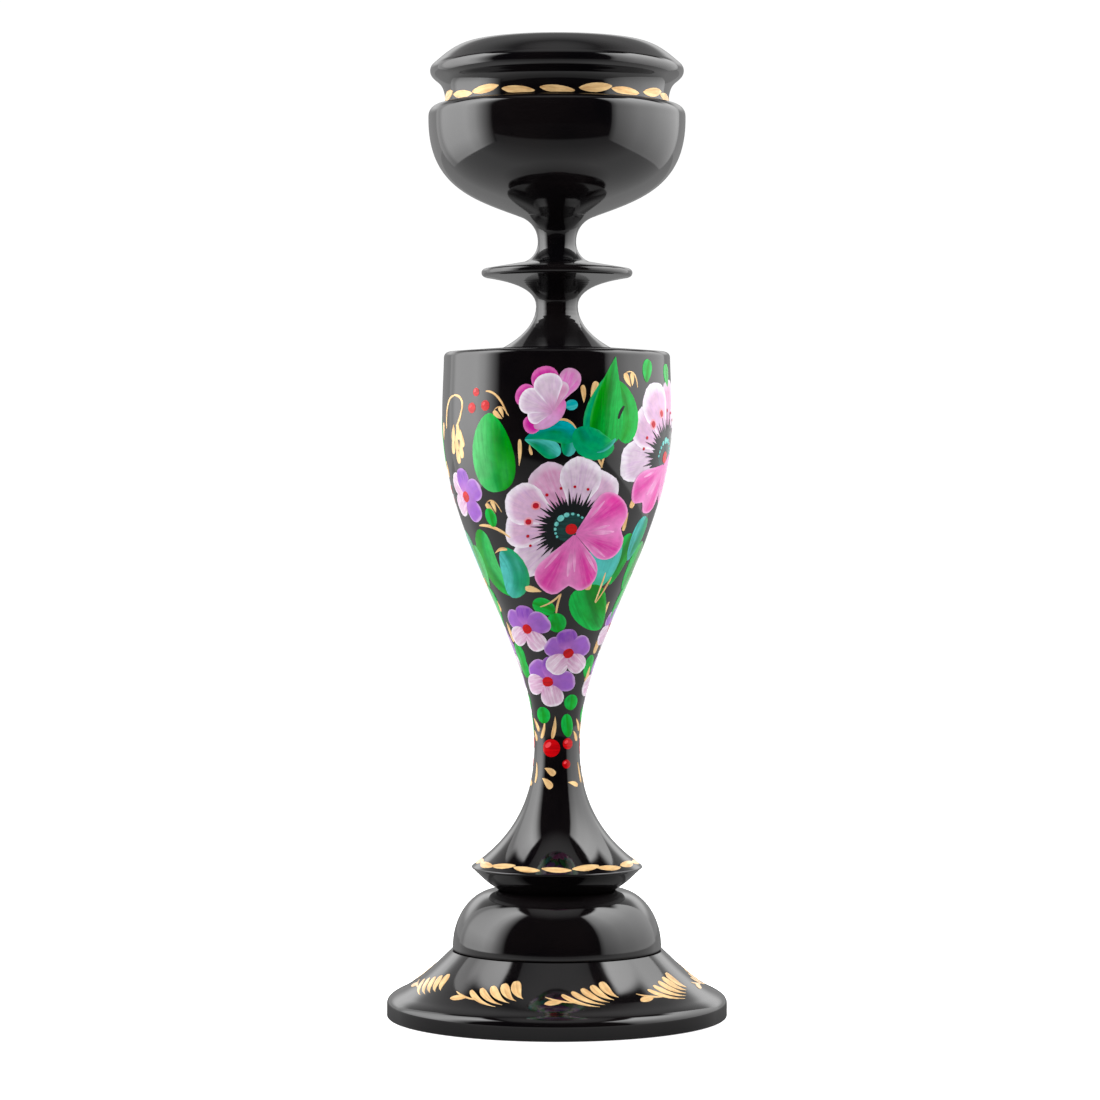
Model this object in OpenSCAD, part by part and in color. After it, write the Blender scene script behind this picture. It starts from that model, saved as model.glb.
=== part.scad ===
// Turned wooden candlestick: a lacquered foot, bun, vase-shaped stem, spool, bowl and drip rim,
// glued together by round tenons, with a brass candle cup, two screws and a felt pad.
// Millimetres. +Z is up, the axis of turning is Z, and Z = 0 is the surface it stands on.

/* [Foot] */
// Radius of the foot
foot_r = 49; // [46:0.5:54]
// Height of the foot, without the felt
foot_h = 19.1; // [17.1:0.2:22.1]
// Height of the foot's upright edge
foot_edge_h = 4; // [3:0.1:5]
// Radius of the foot's top, just outside the bun
foot_top_r = 30.5; // [30.4:0.1:32]

/* [Bun] */
// Radius of the bun at its bottom
bun_r = 30.1; // [28:0.1:30.3]
// Height of the bun
bun_h = 17.2; // [15:0.2:20]
// Radius of the bun's small flat top
bun_top_r = 17.6; // [17:0.1:20]

/* [Stem] */
// Height of the stem, from the bun to the spool
stem_h = 155.9; // [140:0.1:170]
// Radius where the stem meets the bun
stem_seat_r = 16.4; // [14:0.1:17]
// Radius of the stem's ring
ring_r = 24.6; // [22:0.1:27]
// Height of the ring's edge above the bun
ring_edge_h = 6.7; // [5:0.1:8]
// Radius of the stem at its thinnest
neck_r = 6.5; // [6:0.1:8]
// Height of the thinnest place above the bun
neck_h = 42; // [38:1:48]
// Radius of the vase at its widest
vase_r = 33; // [30:0.5:36]
// Distance from the top of the stem down to the vase's widest place
vase_drop = 19.4; // [15:0.1:25]
// Radius of the vase at its shoulder
shoulder_r = 32.5; // [29:0.5:36]

/* [Spool] */
// Height of the spool
spool_h = 37.8; // [36:0.1:40]
// Radius of the spool's bottom
spool_seat_r = 15.8; // [14:0.1:18]
// Radius of the spool's two thin places
spool_neck_r = 5.8; // [5.2:0.1:6.5]
// Radius of the spool's thin disc
disc_r = 21.7; // [18:0.1:25]
// Thickness of the disc at its edge
disc_edge_t = 2.4; // [2:0.1:3]
// Radius of the spool's top
spool_top_r = 10.7; // [9.5:0.1:12]

/* [Bowl] */
// Radius of the bowl
bowl_r = 36.9; // [35:0.1:40]
// Height of the bowl
bowl_h = 31.7; // [30.5:0.1:34]
// Radius of the bowl's rounded shoulder
bowl_round = 3; // [2:0.1:3.5]

/* [Drip rim] */
// Height of the rim above the bowl
rim_h = 18.1; // [17.6:0.1:20]
// Radius of the rim's concave neck at its bottom
rim_neck_r = 32; // [31.5:0.1:33]
// Radius of the rim at its widest edge
rim_r = 36.4; // [35:0.1:38]
// Radius of the rim's flat lip
lip_r = 22.9; // [22.2:0.1:25]
// Radius of the drip dish at its mouth
dish_r = 20.5; // [19.5:0.1:21]
// Depth of the drip dish
dish_depth = 6.5; // [5:0.1:7]

/* [Candle cup] */
// Radius of the candle socket, for a 22 mm candle
socket_r = 11.1; // [10:0.1:11.5]
// Depth of the candle socket
socket_depth = 22; // [18:0.5:23]
// Wall thickness of the brass cup
cup_wall = 0.8; // [0.6:0.1:1]
// Thickness of the cup's bottom
cup_floor = 2; // [1.8:0.1:2.5]
// Radius of the cup's flange
flange_r = 16.5; // [14:0.5:17]

/* [Joints] */
// Radius of the tenon at the bottom of the stem
stem_tenon_r = 9; // [7:0.5:10]
// Radius of the tenons at the ends of the spool
spool_tenon_r = 4; // [3.5:0.1:4.2]
// Radius of the spigot under the drip rim
spigot_r = 24; // [20:0.5:26]
// Glue gap around each tenon
glue_gap = 0.1; // [0.05:0.05:0.2]
// Depth to which the stem's tenon enters the foot
stem_tenon_depth = 12; // [9:0.5:14]
// Depth to which the spool's lower tenon enters the stem
spool_tenon_depth = 16; // [10:1:20]
// Depth to which the spool's upper tenon enters the bowl
bowl_tenon_depth = 9; // [6:0.5:9]

/* [Felt and screws] */
// Radius of the felt pad
felt_r = 43; // [38:0.5:44]
// Thickness of the felt pad
felt_t = 1.5; // [1.2:0.1:2]
// Height by which the felt stands out below the foot
felt_proud = 0.2; // [0.1:0.1:0.8]
// Length of the screw in the foot
base_screw_l = 38; // [30:1:45]
// Length of the screw in the candle cup
cup_screw_l = 10; // [7:0.5:10.5]

/* [Hidden] */

$fn = 180;
eps = 0.01;
lacquer = "#14110f";
brass = "#c9a24a";
steel = "#a9a9ac";
felt_green = "#1f3b2a";

// Heights of the planes where the pieces meet
foot_z = felt_proud;
bun_z = foot_z + foot_h;
stem_z = bun_z + bun_h;
spool_z = stem_z + stem_h;
bowl_z = spool_z + spool_h;
rim_z = bowl_z + bowl_h;
top_z = rim_z + rim_h;
dish_floor_z = top_z - dish_depth;
socket_top_z = dish_floor_z + cup_wall;
socket_floor_z = socket_top_z - socket_depth;
cup_bottom_z = socket_floor_z - cup_floor;
cup_r = socket_r + cup_wall;

// Screws: radius of the shank, and radius and height of the countersunk head
base_shank_r = 2.2;
base_head_r = 4.6;
cup_shank_r = 1.6;
cup_head_r = 3.3;
head_land = 0.2;

// Points of a smooth curve from a to d, which leaves a towards b and reaches d from c
function curve(a, b, c, d, steps) =
    [for (i = [0 : steps])
        let(t = i / steps, u = 1 - t)
        u * u * u * a + 3 * u * u * t * b + 3 * u * t * t * c + t * t * t * d];

// Points of an arc around a centre
function arc(centre, r, from, to, steps) =
    [for (i = [0 : steps])
        let(a = from + (to - from) * i / steps)
        centre + r * [cos(a), sin(a)]];

// A step of a given length in the direction of an angle
function polar(length, angle) = length * [cos(angle), sin(angle)];

// A piece turned about the Z axis from its outline, given as [radius, height]
module turned(outline) rotate_extrude() polygon(outline);

// A plain round peg or drill, from one height to another
module peg(r, from_z, to_z) translate([0, 0, from_z]) cylinder(r = r, h = to_z - from_z);

// A countersunk wood screw that points along +Z, with its head's flat face at the origin
module wood_screw(shank_r, head_r, length) {
    head_h = head_r - shank_r + head_land;
    tip_h = 2 * shank_r;
    cylinder(r = head_r, h = head_land);
    translate([0, 0, head_land]) cylinder(r1 = head_r, r2 = shank_r, h = head_h - head_land);
    translate([0, 0, head_h - eps]) cylinder(r = shank_r, h = length - head_h - tip_h + 2 * eps);
    translate([0, 0, length - tip_h]) cylinder(r1 = shank_r, r2 = 0.2, h = tip_h);
}

// Outlines, from the bottom centre, up the outside, to the top centre

function foot_outline() =
    let(
        edge = [foot_r, foot_z + foot_edge_h],
        crest = [foot_r - 4.2, foot_z + foot_edge_h + 3.5],
        top = [foot_top_r, bun_z],
        reach = norm(top - crest) / 3
    )
    concat(
        [[0, foot_z]],
        arc([foot_r - 0.5, foot_z + 0.5], 0.5, -90, 0, 5),
        curve(edge, edge + [0, 1.8], crest + polar(1.5, -28), crest, 8),
        curve(crest, crest + polar(reach, 152), top + polar(reach, -44), top, 12),
        [[0, bun_z]]
    );

function bun_outline() =
    let(bulge = bun_r - bun_top_r, round_r = 0.7)
    concat(
        [[0, bun_z]],
        arc([bun_r - round_r, bun_z + round_r], round_r, -90, 0, 4),
        [for (i = [1 : 20])
            let(a = 90 * i / 20)
            [bun_top_r + bulge * cos(a), bun_z + round_r + (bun_h - round_r) * sin(a)]],
        [[0, stem_z]]
    );

function stem_outline() =
    let(
        seat = [stem_seat_r, stem_z],
        lip = 0.35,
        ring = [ring_r - lip, stem_z + ring_edge_h],
        hollow = (seat + ring) / 2 - [0, 0.9],
        neck = [neck_r, stem_z + neck_h],
        belly = [vase_r, spool_z - vase_drop],
        edge_r = 1.6,
        shoulder_z = spool_z - 1.1,
        shoulder = [shoulder_r, shoulder_z - edge_r]
    )
    concat(
        [[0, stem_z]],
        curve(seat, hollow, hollow, ring - [0, lip], 8),
        arc(ring, lip, -70, 40, 4),
        curve(ring + polar(lip, 60), ring + polar(13.6, 143.5), neck - [0, 16.9], neck, 26),
        curve(neck, neck + [0, 30.8], belly - [0, 36.8], belly, 34),
        curve(belly, belly + [0, 6], shoulder + [0.1, -5], shoulder, 8),
        arc(shoulder - [edge_r, 0], edge_r, 10, 90, 7),
        [[spool_seat_r, spool_z], [0, spool_z]]
    );

function spool_outline() =
    let(
        seat = [spool_seat_r, spool_z],
        low_neck = [spool_neck_r + 0.2, spool_z + 12.1],
        edge_r = disc_edge_t / 2,
        rim = [disc_r - edge_r, spool_z + 21.6],
        collar = [9.7, rim[1] + 3.1],
        high_neck = [spool_neck_r - 0.3, spool_z + 30.5],
        top = [spool_top_r, bowl_z]
    )
    concat(
        [[0, spool_z]],
        curve(seat, seat + [-1.9, 1], low_neck - [0, 6.8], low_neck, 14),
        curve(low_neck, low_neck + [0, 5.6], rim - [5.4, edge_r + 1], rim - [0, edge_r], 14),
        arc(rim, edge_r, -75, 75, 8),
        curve(collar, collar + [-2.2, 0.6], high_neck - [0, 3], high_neck, 10),
        curve(high_neck, high_neck + [0, 3.6], top - polar(3.3, 20.5), top, 10),
        [[0, bowl_z]]
    );

function bowl_outline() =
    let(
        seat = [spool_top_r, bowl_z],
        side = [bowl_r, rim_z - 4],
        shoulder = [bowl_r - bowl_round, rim_z - bowl_round]
    )
    concat(
        [[0, bowl_z]],
        curve(seat, seat + polar(14, 20.5), side - [0, 19.2], side, 26),
        arc(shoulder, bowl_round, 0, 90, 8),
        [[0, rim_z]]
    );

function rim_outline() =
    let(
        seat = [rim_neck_r, rim_z],
        edge_r = 2.4,
        edge = [rim_r - edge_r, rim_z + 9.9],
        under = edge + polar(edge_r, -35),
        over = edge + polar(edge_r, 50),
        lip = [lip_r, top_z],
        mouth_r = 0.8,
        mouth = [dish_r + mouth_r, top_z - mouth_r],
        floor_r = dish_r - 2
    )
    concat(
        [[0, rim_z]],
        curve(seat, seat + [0, 7], under - [1.3, 1.9], under, 12),
        arc(edge, edge_r, -24, 38, 6),
        curve(over, over + [-2.7, 2.2], lip + [6, 0], lip, 14),
        arc(mouth, mouth_r, 90, 180, 6),
        curve([dish_r, top_z - 2], [dish_r, dish_floor_z + 1.2], [dish_r - 0.8, dish_floor_z],
              [floor_r, dish_floor_z], 8),
        [[0, dish_floor_z]]
    );

// Green felt, glued into a shallow recess under the foot, which it stands out of
module felt_pad() color(felt_green) peg(felt_r, 0, felt_t);

module foot() color(lacquer) difference() {
    turned(foot_outline());
    peg(felt_r + 0.3, -eps, felt_t);
    peg(base_shank_r + 0.2, 0, bun_z);
    translate([0, 0, felt_t])
        cylinder(r1 = base_head_r + 0.2, r2 = base_shank_r + 0.2, h = base_head_r - base_shank_r);
    peg(stem_tenon_r + glue_gap, bun_z - stem_tenon_depth - glue_gap, bun_z + eps);
}

// Wood screw through the foot into the stem's tenon, hidden by the felt
module base_screw() color(steel) translate([0, 0, felt_t])
    wood_screw(base_shank_r, base_head_r, base_screw_l);

module bun() color(lacquer) difference() {
    turned(bun_outline());
    peg(stem_tenon_r + glue_gap, bun_z - eps, stem_z + eps);
}

// Ring, thin neck and painted vase, turned in one piece with the tenon below
module stem() color(lacquer) difference() {
    union() {
        turned(stem_outline());
        peg(stem_tenon_r, bun_z - stem_tenon_depth, stem_z + eps);
    }
    peg(base_shank_r, 0, felt_t + base_screw_l);
    peg(spool_tenon_r + glue_gap, spool_z - spool_tenon_depth - glue_gap, spool_z + eps);
}

module spool() color(lacquer) union() {
    turned(spool_outline());
    peg(spool_tenon_r, spool_z - spool_tenon_depth, spool_z + eps);
    peg(spool_tenon_r, bowl_z - eps, bowl_z + bowl_tenon_depth);
}

module bowl() color(lacquer) difference() {
    turned(bowl_outline());
    peg(spool_tenon_r + glue_gap, bowl_z - eps, bowl_z + bowl_tenon_depth + glue_gap);
    peg(spigot_r + glue_gap, cup_bottom_z, rim_z + eps);
    peg(cup_shank_r, socket_floor_z - cup_screw_l, cup_bottom_z + eps);
}

// Flared rim with the drip dish in its top and a spigot that is glued into the bowl
module drip_rim() color(lacquer) difference() {
    union() {
        turned(rim_outline());
        peg(spigot_r, cup_bottom_z, rim_z + eps);
    }
    peg(cup_r + glue_gap, cup_bottom_z - eps, top_z);
}

module candle_cup() color(brass) difference() {
    union() {
        peg(cup_r, cup_bottom_z, socket_top_z);
        peg(flange_r, dish_floor_z, socket_top_z);
    }
    peg(socket_r, socket_floor_z, socket_top_z + eps);
    translate([0, 0, socket_floor_z]) mirror([0, 0, 1])
        cylinder(r1 = cup_head_r, r2 = cup_shank_r, h = cup_head_r - cup_shank_r);
    peg(cup_shank_r, cup_bottom_z - eps, socket_floor_z);
}

// Small wood screw that holds the cup down, flush with the cup's floor
module cup_screw() color(brass) translate([0, 0, socket_floor_z]) mirror([0, 0, 1])
    wood_screw(cup_shank_r - 0.05, cup_head_r - 0.2, cup_screw_l);

felt_pad();
foot();
base_screw();
bun();
stem();
spool();
bowl();
drip_rim();
candle_cup();
cup_screw();
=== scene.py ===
"""Painted wooden candlestick: its visual model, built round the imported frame.

The turned pieces are lathed again, smoothly, from the outlines of their CAD nodes, and the
flowers, leaves and gold strokes are thin brush strokes laid on the turned surfaces.
The candlestick's lengths are in millimetres until they reach a mesh, and the studio's are in
metres. Azimuth 0 faces the camera and grows towards +X, and height is measured from the
surface that the candlestick stands on.
"""

from math import ceil, cos, pi, radians, sin

import bpy
import numpy as np
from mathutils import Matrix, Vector


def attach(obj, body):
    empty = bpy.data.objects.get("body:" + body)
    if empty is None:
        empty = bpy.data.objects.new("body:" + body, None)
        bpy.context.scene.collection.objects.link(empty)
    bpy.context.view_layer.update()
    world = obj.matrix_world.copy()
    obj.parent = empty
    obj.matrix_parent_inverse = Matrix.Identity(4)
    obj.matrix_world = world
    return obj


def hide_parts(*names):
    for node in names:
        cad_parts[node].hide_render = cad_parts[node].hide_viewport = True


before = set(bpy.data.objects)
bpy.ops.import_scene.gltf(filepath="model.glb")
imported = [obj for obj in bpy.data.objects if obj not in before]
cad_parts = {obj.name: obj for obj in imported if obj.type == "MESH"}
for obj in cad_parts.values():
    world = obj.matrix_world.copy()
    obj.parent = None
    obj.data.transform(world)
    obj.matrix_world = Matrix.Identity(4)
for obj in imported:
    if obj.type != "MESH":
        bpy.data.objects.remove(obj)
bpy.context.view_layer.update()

MM = 0.001
MIDDLE = 0.14  # Half the object's height, in metres.
TOUCH = 0.01  # Points nearer than this are the same point.
TINY = 1e-6  # A shorter length counts as none.
CREASE = 35  # Edges that turn by more degrees than this stay sharp.
SIDES = 192  # Sides of a turned piece.
rng = np.random.default_rng(11)


# ---------------- colours and materials

def srgb(r, g, b):
    """A colour given as 0-255 screen values, as linear values."""
    c = np.array([r, g, b]) / 255
    return np.where(c <= 0.04045, c / 12.92, ((c + 0.055) / 1.055) ** 2.4)


WHITE = srgb(240, 234, 242)
PALE = srgb(212, 174, 202)
PINK = srgb(208, 144, 184)
ICE = srgb(212, 192, 210)
BLUSH = srgb(202, 142, 184)
ROSE = srgb(216, 108, 178)
HOT_PINK = srgb(236, 36, 160)
MAGENTA = srgb(212, 52, 156)
BUD_MAGENTA = srgb(196, 30, 150)
DEEP_MAGENTA = srgb(178, 18, 132)
LILAC = srgb(160, 98, 186)
VIOLET = srgb(128, 66, 178)
MAUVE = srgb(196, 158, 200)
ROSE_RIM = srgb(240, 160, 212)
ROSE_MIST = srgb(230, 132, 196)
LILAC_RIM = srgb(208, 170, 220)
GREEN = srgb(0, 144, 4)
BRIGHT_GREEN = srgb(0, 186, 72)
LIGHT_GREEN = srgb(66, 190, 98)
DARK_GREEN = srgb(0, 112, 26)
TEAL = srgb(0, 134, 108)
SEA_GREEN = srgb(0, 156, 98)
TURQUOISE = srgb(0, 158, 166)
CYAN = srgb(78, 190, 184)
GOLD = srgb(240, 202, 144)
DARK_GOLD = srgb(198, 142, 84)
RED = srgb(206, 8, 16)
LIGHT_RED = srgb(236, 76, 84)
DARK_RED = srgb(150, 0, 10)
CRIMSON = srgb(172, 18, 44)
SALMON = srgb(236, 150, 160)
INK = srgb(8, 16, 18)
PLUM_BLACK = srgb(20, 6, 16)
PETROL = srgb(16, 62, 60)
MINT = srgb(120, 206, 196)


class Tree:
    """A short way to write a node tree."""

    def __init__(self, tree):
        self.tree = tree

    def add(self, kind, inputs=None, **settings):
        node = self.tree.nodes.new("ShaderNode" + kind)
        for key, value in settings.items():
            setattr(node, key, value)
        for key, value in (inputs or {}).items():
            self.set(node, key, value)
        return node

    def set(self, node, key, value):
        """Links a socket to the input, or sets the input to a plain value."""
        if isinstance(value, bpy.types.NodeSocket):
            self.tree.links.new(value, node.inputs[key])
        else:
            node.inputs[key].default_value = value

    def math(self, operation, a, b):
        return self.add("Math", {0: a, 1: b}, operation=operation).outputs[0]

    def remap(self, value, low, high, to_low=0, to_high=1, **settings):
        inputs = {0: value, 1: low, 2: high, 3: to_low, 4: to_high}
        return self.add("MapRange", inputs, **settings).outputs["Result"]

    def noise(self, vector, scale, detail=2, roughness=0.5):
        inputs = {"Vector": vector, "Scale": scale, "Detail": detail, "Roughness": roughness}
        return self.add("TexNoise", inputs).outputs["Fac"]

    def mix(self, factor, a, b):
        """Colour a where the factor is 0 and colour b where it is 1."""
        return self.add("Mix", {0: factor, 6: a, 7: b}, data_type="RGBA").outputs[2]

    def bump(self, height, strength, distance):
        inputs = {"Height": height, "Strength": strength, "Distance": distance}
        return self.add("Bump", inputs).outputs["Normal"]


class Nodes(Tree):
    """The node tree of a new material."""

    def __init__(self, name):
        self.material = bpy.data.materials.new(name)
        self.material.use_nodes = True
        super().__init__(self.material.node_tree)
        self.shader = self.tree.nodes["Principled BSDF"]

    def place(self):
        return self.add("TexCoord").outputs["Object"]

    def show(self, surface):
        """Shows this surface in place of the shader's."""
        self.tree.links.new(surface, self.tree.nodes["Material Output"].inputs["Surface"])

    def finish(self, **inputs):
        """Sets the shader's inputs, whose names have _ for a space."""
        for key, value in inputs.items():
            self.set(self.shader, key.replace("_", " "), value)
        return self.material


def tint(r, g, b):
    """A colour for a node, given as 0-255 screen values."""
    return (*srgb(r, g, b).tolist(), 1)


def grey(level):
    return (level, level, level, 1)


def lacquer_material():
    """Black lacquer: a glossy coat over a faintly uneven black ground.

    Its gloss is held back beyond about 70 degrees, so that a surface seen at a grazing
    angle doesn't mirror the softboxes as plain white."""
    n = Nodes("black_lacquer")
    place = n.place()
    cloud = n.noise(place, 60, 4)
    ground = n.mix(n.remap(cloud, 0.35, 0.65), tint(7, 6, 8), tint(15, 12, 13))
    dull = n.remap(n.noise(place, 25, 3), 0.3, 0.7, 0.05, 0.09)
    ripple = n.noise(place, 160, 1.5)
    grazing = n.add("LayerWeight", {"Blend": 0.875}).outputs["Facing"]
    return n.finish(Base_Color=ground, Roughness=dull, IOR=1.52,
                    Specular_IOR_Level=n.remap(grazing, 0.983, 1, 0.5, 0),
                    Normal=n.bump(ripple, 0.08, 0.0001))


def paint_material(name, roughness, metallic=0):
    """Brushed paint: two colours that run side by side along each stroke."""
    n = Nodes(name)
    grain = n.add("Attribute", attribute_name="grain").outputs["Vector"]
    paint = n.add("Attribute", attribute_name="paint").outputs["Color"]
    under = n.add("Attribute", attribute_name="under").outputs["Color"]
    stretched = n.add("VectorMath", {0: grain, 1: (1.3, 0.14, 1)}, operation="MULTIPLY")
    hairs = n.noise(stretched.outputs[0], 1, 4, 0.62)
    runs = n.remap(hairs, 0.44, 0.72, 0, 0.85)
    cloud = n.noise(grain, 0.45, 2)
    colour = n.mix(runs, paint, under)
    shade = n.remap(cloud, 0.3, 0.7, 0.9, 1.1)
    toned = n.add("VectorMath", {0: colour, "Scale": shade}, operation="SCALE")
    return n.finish(Base_Color=toned.outputs[0], Roughness=roughness, Metallic=metallic,
                    IOR=1.3, Normal=n.bump(hairs, 0.35, 0.00012))


def brass_material():
    """Turned brass with fine lathe marks and a few darker patches."""
    n = Nodes("turned_brass")
    place = n.place()
    split = n.add("SeparateXYZ", {0: place})
    flat = n.add("CombineXYZ", {0: split.outputs[0], 1: split.outputs[1]})
    radius = n.add("VectorMath", {0: flat.outputs[0]}, operation="LENGTH").outputs["Value"]
    rings = n.add("CombineXYZ", {0: radius, 2: split.outputs[2]}).outputs[0]
    marks = n.noise(rings, 6000, 2)
    patch = n.noise(place, 90, 4)
    colour = n.mix(n.remap(patch, 0.4, 0.75), tint(212, 170, 92), tint(150, 108, 52))
    dull = n.remap(marks, 0.3, 0.7, 0.2, 0.36)
    return n.finish(Base_Color=colour, Metallic=1, Roughness=dull,
                    Normal=n.bump(marks, 0.25, 0.00005))


def steel_material():
    """Zinc-plated steel with a slightly cloudy finish."""
    n = Nodes("zinc_steel")
    cloud = n.noise(n.place(), 400, 4)
    colour = n.mix(cloud, tint(168, 170, 174), tint(206, 206, 204))
    return n.finish(Base_Color=colour, Metallic=1, Roughness=n.remap(cloud, 0.3, 0.7, 0.25, 0.4))


def felt_material():
    """Pressed wool felt: tangled fibres in two greens."""
    n = Nodes("green_felt")
    place = n.place()
    fibre = n.noise(place, 1500, 6, 0.7)
    blotch = n.noise(place, 120, 3)
    colour = n.mix(fibre, tint(20, 48, 34), tint(52, 92, 66))
    colour = n.mix(n.remap(blotch, 0.3, 0.7, 0, 0.35), colour, tint(30, 60, 44))
    return n.finish(Base_Color=colour, Roughness=0.95, Sheen_Weight=0.6,
                    Normal=n.bump(fibre, 0.8, 0.0003))


# ---------------- turned pieces

def chain(segments):
    """Joins loose segments end to end into one ordered outline."""
    starts = [k for k, s in enumerate(segments) if min(s[0][0], s[1][0]) < TOUCH]
    first = segments.pop(starts[0] if starts else 0)
    if starts and first[0][0] > first[1][0]:
        first = first[::-1]
    path = list(first)
    while segments:
        ends = np.array(segments) - path[-1]
        gaps = np.hypot(ends[..., 0], ends[..., 1])
        k, side = np.unravel_index(np.argmin(gaps), gaps.shape)
        if gaps[k, side] > TOUCH:
            break
        path.append(segments.pop(k)[1 - side])
    return np.array(path)


def cut_outline(node):
    """A turned CAD node's outline in a half plane through the axis, as (radius, height).

    The half plane is a little off the X axis, so that it meets no edge of the mesh end on."""
    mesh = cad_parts[node].data
    mesh.calc_loop_triangles()
    points = np.array([v.co for v in mesh.vertices]) / MM
    corners = points[[t.vertices[:] for t in mesh.loop_triangles]]
    angle = radians(0.3)
    side = corners @ np.array([-sin(angle), cos(angle), 0])
    reach = corners @ np.array([cos(angle), sin(angle), 0])
    segments = []
    for s, r, z in zip(side, reach, corners[..., 2]):
        ends = []
        for a, b in ((0, 1), (1, 2), (2, 0)):
            if (s[a] > 0) != (s[b] > 0):
                t = s[a] / (s[a] - s[b])
                ends.append(np.array([r[a] + t * (r[b] - r[a]), z[a] + t * (z[b] - z[a])]))
        ends.sort(key=lambda p: p[0])
        if len(ends) != 2 or ends[1][0] <= 0:
            continue
        if ends[0][0] < 0:
            t = -ends[0][0] / (ends[1][0] - ends[0][0])
            ends[0] = ends[0] + t * (ends[1] - ends[0])
        if np.hypot(*(ends[1] - ends[0])) > TINY:
            segments.append(ends)
    return drop_straight(chain(segments))


def drop_straight(path):
    """Leaves out points that lie on the line between their neighbours."""
    slack, shortest = 0.002, 0.05
    closed = np.hypot(*(path[0] - path[-1])) < TOUCH
    kept = [path[0]]
    for here, after in zip(path[1:], path[2:]):
        a, b = here - kept[-1], after - here
        if abs(a[0] * b[1] - a[1] * b[0]) > slack * np.hypot(*b) * max(np.hypot(*a), shortest):
            kept.append(here)
    if not closed:
        kept.append(path[-1])
    return np.array(kept), closed


def soften(path, closed):
    """Adds points to the outline's curved stretches, so that reflections run smoothly.

    An edge is straight if it is long or stands between two corners."""
    step, long_edge, much_longer = 0.6, 6, 3
    count = len(path)
    edges = [path[(k + 1) % count] - path[k] for k in range(count if closed else count - 1)]
    lengths = [np.hypot(*e) for e in edges]
    headings = [e / length for e, length in zip(edges, lengths)]

    def bend(k):
        """The turn at a point, in degrees, or 180 at an open end."""
        if not closed and k in (0, count - 1):
            return 180
        a, b = headings[k - 1], headings[k % count]
        return np.degrees(np.arccos(np.clip(a @ b, -1, 1)))

    def tangent(k, own):
        """The curve's heading at a point, seen from the edge with index own."""
        if bend(k) > CREASE:
            return headings[own]
        before, after = (k - 1) % len(edges), k % len(edges)
        if lengths[before] > much_longer * lengths[after]:
            return headings[before]
        if lengths[after] > much_longer * lengths[before]:
            return headings[after]
        mixed = headings[before] * lengths[after] + headings[after] * lengths[before]
        return mixed / np.hypot(*mixed)

    out = []
    for k, (start, length) in enumerate(zip(path, lengths)):
        after = (k + 1) % count
        end = path[after]
        straight = length >= long_edge or min(bend(k), bend(after)) > CREASE
        parts = 1 if straight else ceil(length / step)
        p, q = tangent(k, k) * length, tangent(after, k) * length
        for j in range(parts):
            t = j / parts
            out.append((2 * t**3 - 3 * t**2 + 1) * start + (t**3 - 2 * t**2 + t) * p
                       + (3 * t**2 - 2 * t**3) * end + (t**3 - t**2) * q)
    if not closed:
        out.append(path[-1])
    return np.array(out)


def new_object(name, data):
    thing = bpy.data.objects.new(name, data)
    bpy.context.scene.collection.objects.link(thing)
    return thing


def add_piece(points, faces, name, material, slot):
    """Makes a mesh piece from points in millimetres."""
    mesh = bpy.data.meshes.new(name)
    mesh.from_pydata((np.asarray(points) * MM).tolist(), [], faces)
    mesh.materials.append(material)
    mesh.shade_smooth()
    piece = new_object(name, mesh)
    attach(piece, "root")
    return piece


def lathe(node, outline, closed, material, slot):
    """Turns a node's outline of (radius, height) about the Z axis. The piece replaces the node."""
    points, rings = [], []
    angles = [2 * pi * k / SIDES for k in range(SIDES)]
    for r, z in outline:
        if r < TOUCH:
            rings.append([len(points)] * SIDES)
            points.append((0, 0, z))
            continue
        rings.append([len(points) + k for k in range(SIDES)])
        points += [(r * sin(a), -r * cos(a), z) for a in angles]
    faces = []
    pairs = list(zip(rings, rings[1:])) + ([(rings[-1], rings[0])] if closed else [])
    for low, high in pairs:
        for k in range(SIDES):
            j = (k + 1) % SIDES
            face = list(dict.fromkeys((low[k], low[j], high[j], high[k])))
            if len(face) > 2:
                faces.append(face)
    piece = add_piece(points, faces, node + "_turned", material, slot)
    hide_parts(node)
    outward(piece.data)
    piece.data.set_sharp_from_angle(angle=radians(CREASE))


def outward(mesh):
    """Turns the faces round if they point inwards."""
    mesh.calc_loop_triangles()
    points = np.array([v.co for v in mesh.vertices])
    a, b, c = np.moveaxis(points[[t.vertices[:] for t in mesh.loop_triangles]], 1, 0)
    if np.einsum("ij,ij->", a, np.cross(b, c)) < 0:
        mesh.flip_normals()


# ---------------- brush strokes

def smooth(x, low, high):
    """0 below low and 1 above high, with a smooth rise between them."""
    t = np.clip((np.asarray(x) - low) / (high - low), 0, 1)
    return t * t * (3 - 2 * t)


def blend(a, b, factor):
    """Colour a where the factor is 0 and colour b where it is 1."""
    f = np.asarray(factor)[..., None]
    return a * (1 - f) + b * f


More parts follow.
